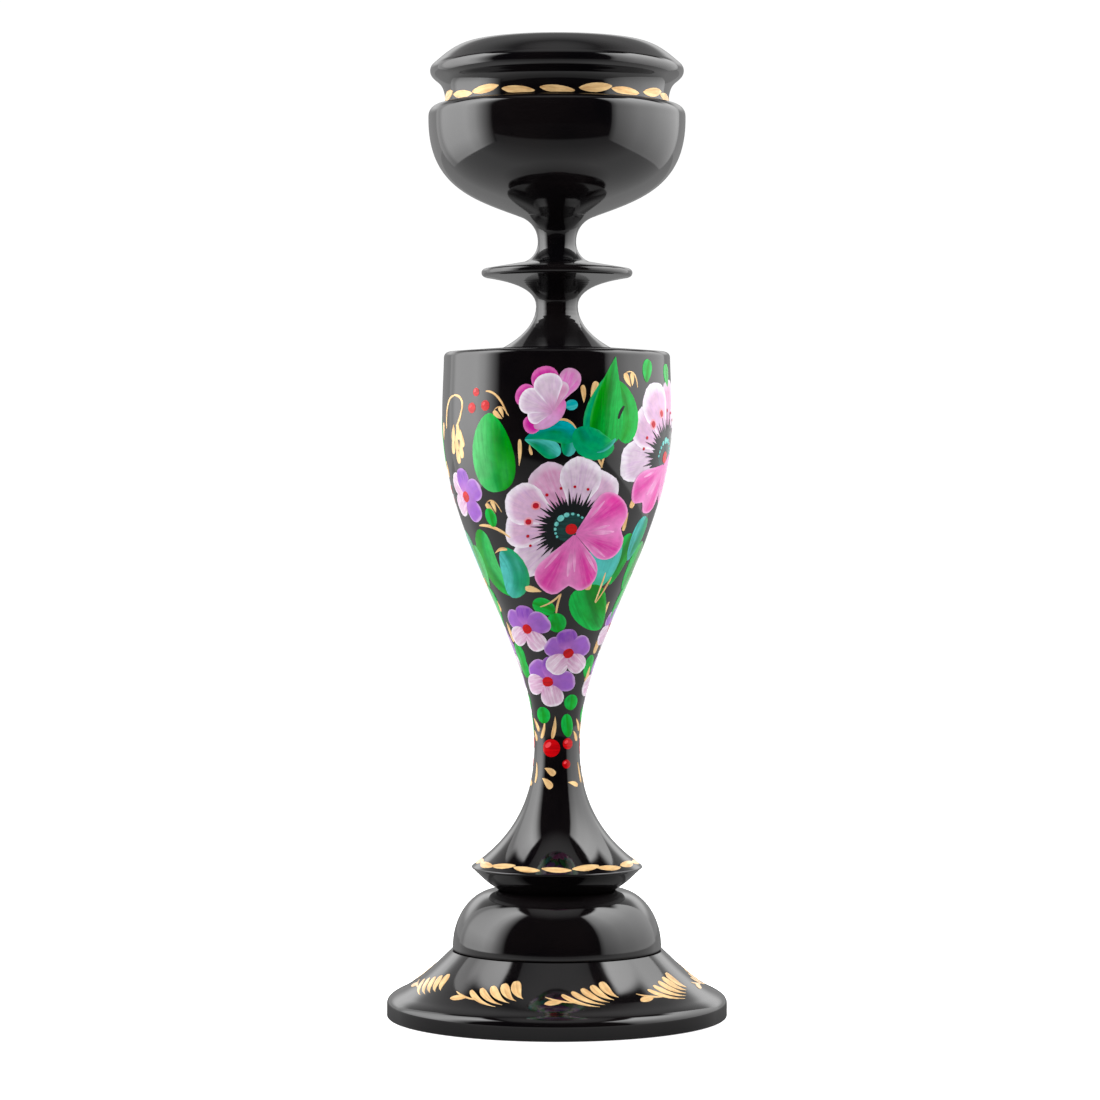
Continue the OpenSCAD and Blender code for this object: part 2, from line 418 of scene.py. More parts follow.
class Canvas:
    """The outer surface of a turned piece between two heights."""

    def __init__(self, outline, low, high, inner_radius):
        rows = [p for p in outline if low <= p[1] <= high and p[0] > inner_radius]
        rows = np.array(sorted(rows, key=lambda p: p[1]))
        self.r, self.z = rows[:, 0], rows[:, 1]
        steps = np.hypot(np.diff(self.r), np.diff(self.z))
        self.s = np.concatenate([[0], np.cumsum(steps)])
        dr, dz = np.gradient(self.r, self.s), np.gradient(self.z, self.s)
        size = np.hypot(dr, dz)
        self.nr, self.nz = dz / size, -dr / size

    def point(self, azimuth, height, u, v, lift):
        """Points of a drawing, where u runs round and v runs up from a spot, and normals."""
        s = np.interp(height, self.z, self.s) + v
        r, z, nr, nz = (np.interp(s, self.s, k) for k in (self.r, self.z, self.nr, self.nz))
        a = radians(azimuth) + u / r
        out = r + lift * nr
        points = np.stack([out * np.sin(a), -out * np.cos(a), z + lift * nz], -1)
        return points, np.stack([nr * np.sin(a), -nr * np.cos(a), nz], -1)


class Brush:
    """Collects the strokes of one painted piece. Each stroke is a thin closed skin."""

    # Heights of a stroke's edge and of its underside above the surface
    EDGE = -0.02
    UNDERSIDE = -0.1
    SEED_STEP = 3.7

    def __init__(self, name, material, slot):
        self.label = name, material, slot
        self.points, self.normals, self.faces = [], [], []
        self.paint, self.under, self.grain = [], [], []
        self.count = 0
        self.strokes = 0

    def lay(self, spot, u, v, paint, under, across, along, lift):
        """Lays a grid of drawing points at a spot, with its two paints and its grain."""
        canvas, azimuth, height, turn, mirror, rise = spot
        m, n = u.shape
        c, s = cos(radians(turn)), sin(radians(turn))
        x, y = (u * c - v * s) * mirror, u * s + v * c
        inner = np.zeros((m, n), bool)
        inner[1:-1, 1:-1] = True
        top, normals = canvas.point(azimuth, height, x, y, np.where(inner, lift + rise, self.EDGE))
        bottom, _ = canvas.point(azimuth, height, x, y, np.full((m, n), self.UNDERSIDE))
        index = np.arange(m * n).reshape(m, n) + self.count
        below = index.copy()
        below[inner] = self.count + m * n + np.arange(inner.sum())
        self.strokes += 1
        seed = np.full((m, n), self.strokes * self.SEED_STEP)
        grain = np.stack([across, along, seed], -1)
        for store, grid in ((self.points, (top, bottom)), (self.normals, (normals, normals)),
                            (self.paint, (paint, paint)), (self.under, (under, under)),
                            (self.grain, (grain, grain))):
            store.append(np.broadcast_to(grid[0], (m, n, 3)).reshape(-1, 3))
            store.append(np.broadcast_to(grid[1], (m, n, 3))[inner])
        self.count += m * n + int(inner.sum())
        quads = self.quads(index)
        flips = self.quads(below)[:, ::-1]
        if self.handed(x, y) < 0:
            quads, flips = quads[:, ::-1], flips[:, ::-1]
        self.faces += [quads, flips]

    @staticmethod
    def quads(index):
        sides = index[:-1, :-1], index[1:, :-1], index[1:, 1:], index[:-1, 1:]
        return np.stack([side.ravel() for side in sides], -1)

    @staticmethod
    def handed(x, y):
        """Positive if the grid's quads run anticlockwise in the drawing."""
        i, j = x.shape[0] // 2, x.shape[1] // 2
        z = x + 1j * y
        a, b = z[i, j - 1] - z[i - 1, j - 1], z[i - 1, j] - z[i - 1, j - 1]
        return (a.conjugate() * b).imag

    def finish(self):
        """Makes the piece, with its paints and grain stored on its points."""
        faces = np.concatenate(self.faces).tolist()
        piece = add_piece(np.concatenate(self.points), faces, *self.label)
        for key in ("paint", "under"):
            colours = np.concatenate(getattr(self, key))
            attribute = piece.data.color_attributes.new(key, "FLOAT_COLOR", "POINT")
            filled = np.concatenate([colours, np.ones((len(colours), 1))], 1)
            attribute.data.foreach_set("color", filled.ravel())
        attribute = piece.data.attributes.new("grain", "FLOAT_VECTOR", "POINT")
        attribute.data.foreach_set("vector", np.concatenate(self.grain).ravel())
        piece.data.normals_split_custom_set_from_vertices(np.concatenate(self.normals).tolist())


# ---------------- the turned body

lacquer = lacquer_material(), "black_lacquer"
brass = brass_material(), "brass"
steel = steel_material(), "steel"
felt = felt_material(), "felt"

OUTLINES = {}
for node, (material, slot) in (
        ("felt_pad", felt), ("foot", lacquer), ("base_screw", steel), ("bun", lacquer),
        ("stem", lacquer), ("spool", lacquer), ("bowl", lacquer), ("drip_rim", lacquer),
        ("candle_cup", brass), ("cup_screw", brass)):
    path, closed = cut_outline(node)
    OUTLINES[node] = soften(path, closed)
    lathe(node, OUTLINES[node], closed, material, slot)


# ---------------- kinds of stroke

THINNEST = 0.03  # Half the width of a stroke at its ends.


def polar(radius, angle):
    """A point of a drawing by its distance and its angle in degrees, anticlockwise from u."""
    return radius * np.array([cos(radians(angle)), sin(radians(angle))])


def scaled(size, *points):
    return [(u * size, v * size) for u, v in points]


def ramp(value, *stops):
    """Colours along a scale, from pairs of a place and a colour."""
    places = [place for place, _ in stops]
    return np.stack([np.interp(value, places, [c[k] for _, c in stops]) for k in range(3)], -1)


def grid_of(cells):
    """Two parameters over a patch, one across from -1 to 1 and one along from 0 to 1."""
    across = np.sin(np.linspace(-pi / 2, pi / 2, cells[0] + 1))
    along = (1 - np.cos(np.linspace(0, pi, cells[1] + 1))) / 2
    return np.meshgrid(across, along, indexing="ij")


def blade(brush, spot, path, width, tones, fullness=(0.5, 0.5), lift=0.08, cells=(8, 14)):
    """A stroke along a path of three points, whose half width swells and then shrinks."""
    a, t = grid_of(cells)
    start, middle, end = [np.array(p, float) for p in path]
    w = t[..., None]
    centre = (1 - w) ** 2 * start + 2 * w * (1 - w) * middle + w ** 2 * end
    heading = (1 - w) * (middle - start) + w * (end - middle)
    heading /= np.maximum(np.linalg.norm(heading, axis=-1, keepdims=True), TINY)
    p, q = fullness
    peak = (p / (p + q)) ** p * (q / (p + q)) ** q
    half = width * t ** p * (1 - t) ** q / peak + THINNEST
    u = centre[..., 0] + heading[..., 1] * a * half
    v = centre[..., 1] - heading[..., 0] * a * half
    length = np.hypot(*(middle - start)) + np.hypot(*(end - middle))
    paint, under = tones(a, t)
    brush.lay(spot, u, v, paint, under, a * half, t * length, lift)


def petal(brush, spot, root, direction, spread, length, tones, lift, cells, roundness,
          ripple=0, waist=0.55, notch=0, skew=0):
    """A broad stroke that fans out from its root to a rounded tip, or to one with a notch."""
    nearest, waves, notch_width = 0.35, 7, 0.17
    a, t = grid_of(cells)
    tip = np.sqrt(np.maximum(1 - np.abs(a) ** 2.3, 0))
    reach = length * (1 - roundness + roundness * tip)
    reach = reach * (1 + ripple * np.sin(waves * a + direction)) * (1 + skew * a)
    reach = reach * (1 - notch * np.exp(-(a / notch_width) ** 2))
    angle = np.radians(direction + spread * a * (waist + (1 - waist) * t))
    r = nearest + t * (reach - nearest)
    u, v = root[0] + r * np.cos(angle), root[1] + r * np.sin(angle)
    paint, under = tones(a, t)
    brush.lay(spot, u, v, paint, under, a * radians(spread) * length * 0.8, r, lift)


def dot(brush, spot, centre, size, tones, lift, stretch=1, lean=0, cells=(6, 8)):
    """A round dab, or an oval one that leans by an angle."""
    step = polar(1, lean) * size * stretch
    centre = np.array(centre, float)
    blade(brush, spot, (centre - step, centre, centre + step), size, tones, (0.5, 0.5), lift, cells)


# ---------------- tones of the strokes

def plain(colour, under=None):
    """Tones of one colour with streaks of another."""
    def tones(a, t):
        ones = np.ones_like(a)[..., None]
        return ones * colour, ones * (colour * 0.7 if under is None else under)
    return tones


def petal_tones(rim, body, root, streak):
    """A petal: pale rim, coloured body, and a root of its own colour, with fine streaks."""
    def tones(a, t):
        sides = smooth(np.abs(a), 0.80, 0.97) * smooth(t, 0.3, 0.6)
        edge = np.maximum(smooth(t, 0.84, 0.97), sides)
        colour = ramp(t, (0.1, root), (0.5, body * 0.9 + root * 0.1), (0.8, body))
        paint = blend(colour, rim, edge * 0.9)
        return paint, blend(streak, rim, edge * 0.6)
    return tones


def lobed_tones(rim, body, between, root):
    """A notched petal: a strong colour in each of its two lobes, and paler at its edges."""
    def tones(a, t):
        lobe = np.exp(-((np.abs(a) - 0.52) / 0.3) ** 2) * smooth(t, 0.1, 0.5)
        colour = blend(blend(root, between, smooth(t, 0.1, 0.5)), body, lobe)
        colour = blend(colour, HOT_PINK, lobe * smooth(a * t, 0.2, 0.7) * 0.8)
        sides = smooth(np.abs(a), 0.88, 0.99) * smooth(t, 0.3, 0.6)
        edge = np.maximum(smooth(t, 0.93, 0.99), sides)
        paint = blend(colour, rim, edge * 0.85)
        return paint, blend(paint, between, np.full(a.shape, 0.5))
    return tones


def leaf_tones(left, middle, right, tip):
    """A leaf: one tone on each side of its vein, another at its tip, and soft dabs on top."""
    def tones(a, t):
        sides = ramp(a, (-0.9, left), (-0.35, left * 0.7 + middle * 0.3), (-0.05, middle),
                     (0.2, right * 0.75 + middle * 0.25), (0.8, right))
        paint = blend(sides, tip, smooth(t, 0.66, 1) * 0.7)
        for tint, strength in ((DARK_GREEN, 0.8), (left, 0.35), (middle, 0.6), (tip, 0.5)):
            across, along = rng.uniform(-0.6, 0.6), rng.uniform(0.15, 0.8)
            dab = np.exp(-((a - across) / 0.24) ** 2 - ((t - along) / 0.17) ** 2)
            paint = blend(paint, tint, dab * strength)
        paint = blend(paint, LIGHT_GREEN, smooth(-a, 0.8, 0.97) * smooth(t, 0.1, 0.4) * 0.45)
        return paint, blend(paint, middle * 0.7, np.full(a.shape, 0.6))
    return tones


PALE_PETAL = petal_tones(WHITE, PALE, BLUSH, MAUVE)
PINK_PETAL = petal_tones(ICE, PINK, BLUSH, PALE)
ICE_PETAL = petal_tones(WHITE, ICE, BLUSH, MAUVE)
WHITE_PETAL = petal_tones(WHITE, PALE, BLUSH, WHITE)
MAGENTA_PETAL = lobed_tones(ROSE_RIM, MAGENTA, ROSE_MIST, ROSE)
SHEEN = petal_tones(srgb(240, 172, 216), srgb(238, 168, 214), ROSE, ROSE)
LILAC_PETAL = petal_tones(LILAC_RIM, srgb(150, 92, 190), LILAC, LILAC)
VIOLET_PETAL = petal_tones(srgb(176, 124, 200), VIOLET, srgb(186, 116, 196), LILAC)
BUD_PETAL = petal_tones(ROSE, BUD_MAGENTA, ROSE, DEEP_MAGENTA)
BUD_SIDE = petal_tones(BLUSH, srgb(216, 112, 190), MAUVE, PALE)
BELLY = petal_tones(BLUSH, srgb(210, 156, 206), ROSE, BLUSH)
GREEN_LEAF = leaf_tones(LIGHT_GREEN, srgb(0, 150, 60), GREEN, BRIGHT_GREEN)
BRIGHT_LEAF = leaf_tones(GREEN, DARK_GREEN, BRIGHT_GREEN, BRIGHT_GREEN)
TEAL_LEAF = leaf_tones(SEA_GREEN, TEAL, TURQUOISE, TEAL)
CYAN_LEAF = leaf_tones(SEA_GREEN, TEAL, CYAN, CYAN)
AQUA_LEAF = leaf_tones(CYAN, CYAN, CYAN, BRIGHT_GREEN)
LOBE_LEAF = leaf_tones(SEA_GREEN, TEAL, SEA_GREEN, BRIGHT_GREEN)
SMALL_LEAF = leaf_tones(BRIGHT_GREEN, GREEN, BRIGHT_GREEN, GREEN)
RED_DAB = plain(RED, DARK_RED)
GOLD_DAB = plain(GOLD, DARK_GOLD)


# ---------------- motifs

class Painter:
    """The brushes, one for each painted piece, and the motifs that they paint."""

    def __init__(self):
        flower = paint_material("petal_paint", 0.1), "paint_flower"
        leaf = paint_material("leaf_paint", 0.1), "paint_leaf"
        gold = paint_material("gold_paint", 0.2, metallic=0.12), "paint_gold"
        berry = paint_material("berry_paint", 0.08), "paint_berry"
        ink = paint_material("ink_paint", 0.1), "black_lacquer"
        self.pale = Brush("pale_petals", *flower)
        self.bright = Brush("magenta_petals", *flower)
        self.lilac = Brush("lilac_petals", *flower)
        self.leaf = Brush("painted_leaves", *leaf)
        self.gold = Brush("gold_strokes", *gold)
        self.trim = Brush("gold_borders", *gold)
        self.berry = Brush("red_dabs", *berry)
        self.ink = Brush("flower_fringes", *ink)
        self.dots = Brush("turquoise_dots", *leaf)
        self.leaves = 0

    def finish(self):
        for brush in (self.pale, self.bright, self.lilac, self.leaf, self.gold, self.trim,
                      self.berry, self.ink, self.dots):
            brush.finish()

    def big_flower(self, spot, size=1, skirt=1):
        """Six pale petals, and two magenta ones of two lobes each, round a fringed black eye.

        skirt scales the length of the magenta petals."""
        for k, (direction, length, tones) in enumerate((
                (218, 19.8, ICE_PETAL), (181, 19.5, PALE_PETAL), (152, 21.4, PALE_PETAL),
                (54, 19.6, PALE_PETAL), (116, 20.8, PINK_PETAL), (82, 21, ICE_PETAL))):
            petal(self.pale, spot, (0, 0), direction, 24, length * size, tones,
                  0.05 + 0.03 * (k % 3), (14, 16), 0.40, 0.012)
        self.fringe(spot, size)
        dot(self.ink, spot, (-0.6 * size, 0.6 * size), 4.6 * size, plain(PETROL, INK), 0.16,
            cells=(10, 12))
        root = np.array([1, -1.4]) * size
        for direction, spread, length, skew, lift in (
                (6, 54, 17.6, 0.14, 0.18), (267, 43, 19, -0.12, 0.20)):
            length = length * size * skirt
            petal(self.bright, spot, root, direction, spread, length, MAGENTA_PETAL, lift,
                  (30, 20), 0.45, 0.012, 1, 0.16, skew)
            for side, low, high, width in (
                    (-0.06, 3.5, 0.70, 0.9), (0.14, 4, 0.62, 0.5), (-0.78, 5, 0.70, 0.5),
                    (0.80, 5, 0.74, 0.6)):
                path = [root + polar(r, direction + side * spread)
                        for r in (low * size, 8.5 * size, high * length)]
                blade(self.bright, spot, path, width * size, SHEEN, (0.8, 0.8), lift + 0.02,
                      (4, 12))
        self.eye_dots(spot, size)

    def eye_dots(self, spot, size):
        """A red dab in the eye, and arcs of turquoise and red dots, largest at the upper left."""
        inner, outer = 4.5 * size, 12.4 * size
        for angle in (50, 67, 88, 110, 134, 160, 180, 196, 210):
            dab = (0.35 + 0.6 * np.exp(-((angle - 132) / 32) ** 2)) * size
            dot(self.dots, spot, polar(inner, angle), dab, plain(MINT, TURQUOISE), 0.23, 1.1,
                angle + 90)
        dot(self.berry, spot, (0, 0), 1.65 * size, RED_DAB, 0.24, cells=(8, 10))
        for angle in (70, 88, 106, 126, 146, 170, 190, 204):
            dab = (0.42 + 0.75 * np.exp(-((angle - 158) / 20) ** 2)) * size
            if dab > 0.7:
                dot(self.bright, spot, polar(outer, angle), dab * 1.5, plain(SALMON, PALE), 0.17)
            dot(self.berry, spot, polar(outer, angle), dab, plain(CRIMSON, RED), 0.20)

    def fringe(self, spot, size):
        """The black eye of a big flower, with spikes over the pale petals."""
        dot(self.ink, spot, (-0.5 * size, 0.5 * size), 6.4 * size, plain(INK, PLUM_BLACK), 0.15,
            cells=(12, 14))
        for k in range(34):
            c, s = polar(1, 28 + 6.2 * k)
            reach = (10.4 + 1.7 * sin(2.4 * k) + rng.uniform(-0.5, 0.9)) * size
            sway = rng.uniform(-0.35, 0.35) * size
            near, far = 5 * size, 8 * size
            path = ((near * c, near * s), (far * c - sway * s, far * s + sway * c),
                    (reach * c, reach * s))
            blade(self.ink, spot, path, 0.62 * size, plain(INK), (0.3, 1.3), 0.15, (4, 8))

    def bud(self, spot, size):
        """A half open blossom: magenta petals behind pale ones."""
        root = (1.9 * size, -4.4 * size)
        for k, (direction, length, spread, tones) in enumerate((
                (205, 10.2, 22, BUD_PETAL), (146, 13, 22, BUD_PETAL), (101, 14, 24, BUD_PETAL),
                (60, 14.2, 19, BUD_SIDE))):
            petal(self.bright, spot, root, direction, spread, length * size, tones,
                  0.06 + 0.02 * k, (14, 14), 0.36)
        belly = scaled(size, (4.6, -0.6), (2.4, -6.6), (-4.4, -8.4))
        blade(self.lilac, spot, belly, 2.5 * size, BELLY, (0.4, 0.5), 0.15)
        for k, (direction, length, spread, tones) in enumerate((
                (186, 8, 26, ICE_PETAL), (68, 9.6, 18, PINK_PETAL), (151, 11.2, 29, ICE_PETAL),
                (98, 11.8, 30, ICE_PETAL))):
            petal(self.pale, spot, root, direction, spread, length * size, tones,
                  0.16 + 0.02 * k, (14, 14), 0.36, 0, 0.9)

    def small_flower(self, spot, size, pale=(3, 4)):
        """Five short petals round a red dab. Some are pale and the others are lilac."""
        for k, direction in enumerate((138, 82, 18, 208, 292)):
            light = k in pale
            angle = direction + rng.uniform(-6, 6)
            reach = rng.uniform(6, 6.9) * size
            path = [polar(r, angle) for r in (0.7 * size, reach * 0.55, reach)]
            tones = WHITE_PETAL if light else (LILAC_PETAL, VIOLET_PETAL)[k % 2]
            blade(self.pale if light else self.lilac, spot, path, rng.uniform(2.5, 2.9) * size,
                  tones, (0.62, 0.46), 0.05 + 0.025 * k, (12, 12))
        dot(self.berry, spot, (0, 0), 1.35 * size, RED_DAB, 0.17, 1, 20)

    def leaf_of(self, spot, length, width, tones, curl, fullness, lift=0.08):
        """A leaf that grows up from its spot. Each lies at a height of its own."""
        self.leaves += 1
        own = 0.05 * (0.618 * self.leaves % 1)
        path = ((0, 0), (curl, length * 0.5), (0, length))
        blade(self.leaf, spot, path, width, tones, fullness, lift + own, (14, 16))

    def leaf_strokes(self, spot, *rows):
        """Leaf paint, each stroke with its path, width, tones, fullness, lift and cells."""
        for row in rows:
            blade(self.leaf, spot, *row)

    def heart_leaf(self, spot):
        """A broad leaf of three strokes, with its tip up and two lobes below."""
        self.leaf_strokes(
            spot,
            (((5.6, 1.4), (10.4, 9), (4, 18.6)), 4, SMALL_LEAF, (0.4, 0.7), 0.06, (12, 14)),
            (((-3.4, 2), (-2.8, 10), (2, 21)), 3.6, LOBE_LEAF, (0.5, 0.9), 0.08, (12, 14)),
            (((0.4, 0.4), (0.6, 11), (3.8, 25.2)), 5.2, BRIGHT_LEAF, (0.42, 1.05), 0.10, (16, 18)),
            (((-7.2, 5.4), (-4.6, -1.8), (3.2, 0.6)), 4.4, LOBE_LEAF, (0.42, 0.5), 0.13, (14, 12)),
            (((-2.2, -1.6), (1.2, -0.8), (3.8, 2.4)), 0.8, CYAN_LEAF, (0.6, 0.6), 0.16, (6, 8)))
        slit = ((4.4, 7.6), (4.9, 9.8), (6.4, 11.4))
        blade(self.ink, spot, slit, 0.6, plain(INK), (0.5, 0.5), 0.17, (4, 8))

    def line(self, spot, path, width):
        """A thin gold line."""
        blade(self.gold, spot, path, width, GOLD_DAB, (0.35, 0.35), 0.10, (4, 16))

    def drop(self, spot, start, heading, length, width, curl=0.3, brush=None,
             fullness=(1, 0.42)):
        """A gold drop from a point, heading clockwise from straight up."""
        c, s = polar(1, heading)
        start = np.array(start, float)
        middle = start + length * 0.5 * np.array([s, c]) + curl * np.array([c, -s])
        path = (start, middle, start + length * np.array([s, c]))
        blade(brush or self.gold, spot, path, width, GOLD_DAB, fullness, 0.10, (6, 10))

    def drops(self, spot, *rows, curl=0.3):
        """Gold drops, each with its shift, height, heading, length and width."""
        for shift, height, heading, length, width in rows:
            self.drop(spot(shift, height), (0, 0), heading, length, width, curl)

    def berries(self, spot, *rows):
        """Red berries with a highlight, each with its shift, height and size."""
        for shift, height, size in rows:
            place = spot(shift, height)
            dot(self.berry, place, (0, 0), size, RED_DAB, 0.10, cells=(8, 10))
            dot(self.bright, place, (-0.35 * size, 0.35 * size), 0.28 * size,
                plain(LIGHT_RED, RED), 0.14, 1.5, 40)

    def tassel(self, spot, size):
        """A gold stalk that bows over, with a hanging ear of grains."""
        for path in (((-7, -3), (-7.2, 6.6), (-0.6, 6.8)), ((-1.2, 6.9), (5.8, 6.9), (3.6, 1.6)),
                     ((3.7, 2.6), (3.2, -0.4), (0.6, -2.4))):
            self.line(spot, scaled(size, *path), 0.42 * size)
        for u, v, heading in (
                (1.6, -1, 178), (-0.8, -1.8, 192), (3, -3.4, 172), (0.6, -4.4, 184),
                (-1.6, -5.4, 190), (2.6, -6.6, 180), (0.2, -8.2, 176)):
            self.drop(spot, (u * size, v * size), heading, 5.4 * size, 1.15 * size)

    def gold_bud(self, spot, size):
        """Two gold drops side by side under a thin arched line."""
        self.drop(spot, (0, 0), -18, 4.6 * size, 0.95 * size, -0.4)
        self.drop(spot, (0.5 * size, 0.2 * size), 8, 4 * size, 0.75 * size, 0.4)
        self.line(spot, scaled(size, (-1, 4.4), (3, 5.4), (2.6, -0.6)), 0.2 * size)

    def sprig(self, spot, size):
        """A fan of drops with round heads, a small leaf and a thin line."""
        def tail_from(head, tail, width, fullness):
            (u0, v0), (u1, v1) = head, tail
            bend = (u0 + 0.38 * (u1 - u0), v1 + 0.22 * (v0 - v1))
            blade(self.trim, spot, scaled(size, head, bend, tail), width * size, GOLD_DAB, fullness,
                  0.10, (8, 14))

        tail_from((-10.8, -3.2), (-5.8, -2.2), 0.95, (0.8, 0.8))
        tail_from((-10.2, -0.4), (-2.4, -2.6), 0.3, (0.8, 0.8))
        for k in range(5):
            tail_from((-5.6 + 2.9 * k, 0.6 + 1.05 * k), (4.4 + 1.5 * k, -4.6 + 0.85 * k),
                      0.78 + 0.13 * k, (0.45, 1.5))


# ---------------- the painting

painter = Painter()
vase = Canvas(OUTLINES["stem"], low=43.4, high=191, inner_radius=6.3)
slope = Canvas(OUTLINES["foot"], low=5, high=19, inner_radius=28)
neck = Canvas(OUTLINES["drip_rim"], low=262, high=266, inner_radius=28)


def at(azimuth, height, turn=0, mirror=1, rise=0, canvas=vase):
    """A spot for a drawing: its place, its turn, and how far it lies above lower layers."""
    return canvas, azimuth, height, turn, mirror, rise


def spots(azimuth, mirror=1, base=0):
    """Gives a function for a group's spots, by their shift round the vase and their height."""
    def spot(shift, height, turn=0, rise=0):
        return at(azimuth + mirror * shift, base + height, turn, mirror, rise)
    return spot


def paint_crown(azimuth, mirror=1):
    """A blossom, a broad leaf and smaller leaves, above a low flower."""
    p, spot = painter, spots(azimuth, mirror)
    p.leaf_strokes(
        spot(0, 165.4),
        (((-0.2, -4.6), (-2, -0.8), (-9.2, 0.3)), 2.7, CYAN_LEAF, (0.42, 0.8), 0.06, (10, 12)),
        (((2.4, -4.2), (4.6, 0), (2, 4.4)), 2.4, CYAN_LEAF, (0.45, 0.5), 0.08, (10, 12)),
        (((5.2, 0.4), (0.2, 5), (-9.2, 0.5)), 3.2, TEAL_LEAF, (0.42, 0.9), 0.10, (10, 14)))
    p.bud(spot(-5.2, 177.4, 4, 0.08), 0.94)
    dot(p.dots, spot(7, 175.4), (0, 0), 1.5, plain(TURQUOISE, CYAN), 0.08, 1.2, 10)
    p.heart_leaf(spot(23.5, 163.9, 0, 0.06))
    p.leaf_of(spot(-32.8, 151.2, 3), 22.4, 7.3, GREEN_LEAF, -1.2, (0.42, 0.62))
    p.drops(spot, (13, 176, -4, 5, 0.75), (16.4, 177.6, 22, 4.8, 1),
            (-19.6, 158.4, 4, 7.6, 0.6), (-13.6, 164.4, 170, 3, 0.45))
    for shift, height, path in (
            (21, 158.6, ((-1.8, 5.4), (-0.4, 2.6), (1.4, -0.6))),
            (21, 158.6, ((2.2, 5.4), (1.6, 2), (1, -0.8))),
            (3, 171, ((-2.6, -0.2), (1.2, 1.6), (3.6, -2.2))),
            (-28.8, 176, ((-5, 3.4), (-0.6, 3.6), (2.2, -3.2)))):
        p.line(spot(shift, height), path, 0.34)
    p.gold_bud(spot(-27.6, 171.6, 34), 0.8)
    p.berries(spot, (-43.7, 179.2, 1.2), (-46.6, 174.8, 1.5), (-37.6, 175.4, 1.5))


def paint_side(azimuth, mirror=1):
    """The leaves above and below a high flower."""
    p, spot = painter, spots(azimuth, mirror)
    p.gold_bud(spot(-36, 180.6, 8), 0.95)
    for shift, height, turn, length, width, tones in (
            (-22.4, 188.4, 168, 6.6, 2.1, SMALL_LEAF), (-3.6, 187.6, 190, 6.6, 2.2, SMALL_LEAF),
            (33, 187.4, 150, 6.8, 2.2, SMALL_LEAF), (-22, 139.4, 172, 16, 3.6, BRIGHT_LEAF),
            (-10, 144.2, 170, 13.6, 3.6, CYAN_LEAF), (0, 137, 172, 15, 3.6, BRIGHT_LEAF),
            (22, 140, 192, 14, 3.8, GREEN_LEAF)):
        p.leaf_of(spot(shift, height, turn), length, width, tones, 0.6, (0.45, 0.75))
    p.leaf_of(spot(-40, 139.4, 176), 17, 5.8, AQUA_LEAF, -1.4, (0.42, 0.62), 0.10)
    p.leaf_of(spot(-52, 124.6, 214), 16, 6, BRIGHT_LEAF, 2.4, (0.36, 0.62), 0.13)
    p.leaf_of(spot(14, 128, 160), 15, 4.6, BRIGHT_LEAF, -1.6, (0.42, 0.6), 0.11)
    p.drop(spot(-48, 127.6, 0, 0.08), (0, 0), 186, 4.6, 1.1)
    p.line(spot(-38, 124, 0, 0.08), ((0.6, 4.8), (0.4, 0.8), (-0.4, -4.6)), 0.36)
    p.line(spot(-38, 124, 0, 0.08), ((3.4, 3.4), (2.4, 0), (-0.2, -4.8)), 0.32)
    p.drops(spot, (-26, 151, 196, 4.8, 1), (-30, 145.4, 182, 5.6, 0.7), (-20, 120, 190, 5, 1),
            (-10, 112.6, 184, 8.4, 1.15), (-14, 101.4, 172, 6.4, 1.15), (8, 111, 170, 6, 1))


def paint_corner(azimuth):
    """A tassel, a small flower and a double leaf, between a high and a low flower."""
    p, spot = painter, spots(azimuth)
    p.tassel(spot(-1, 172), 0.95)
    p.small_flower(spot(0, 149.8, 4, 0.04), 1.3, (3, 0))
    p.leaf_strokes(
        spot(10, 139),
        (((-1, 1.2), (-7.6, -9), (3.2, -18.6)), 4.6, GREEN_LEAF, (0.42, 0.6), 0.06, (14, 14)),
        (((4.4, -4.4), (9.4, -11.6), (1.6, -18.8)), 4.7, CYAN_LEAF, (0.42, 0.5), 0.09, (14, 14)))
    p.drop(spot(15, 139), (-0.6, -5.6), 76, 5.2, 0.5, -1.2)
    p.line(spot(15, 139), ((-4.4, 2.8), (2.2, 3.4), (6.6, -0.8)), 0.5)
    p.gold_bud(spot(22, 145, 24), 0.9)
    p.leaf_of(spot(17.6, 146.6, 186), 5.6, 2, SMALL_LEAF, 0, (0.5, 0.6))
    p.leaf_of(spot(-11, 136, 176), 13, 3.4, GREEN_LEAF, 0.8, (0.45, 0.7))
    p.leaf_of(spot(-25, 140, 190), 13, 3.8, TEAL_LEAF, -0.8, (0.45, 0.7))
    p.drops(spot, (47, 123, -78, 5, 1), (-12, 122, 176, 5.6, 1), (-7, 114, 184, 6.4, 1))
    p.leaf_of(spot(-2.9, 108, 182), 7.6, 2.4, SMALL_LEAF, 0, (0.5, 0.6))


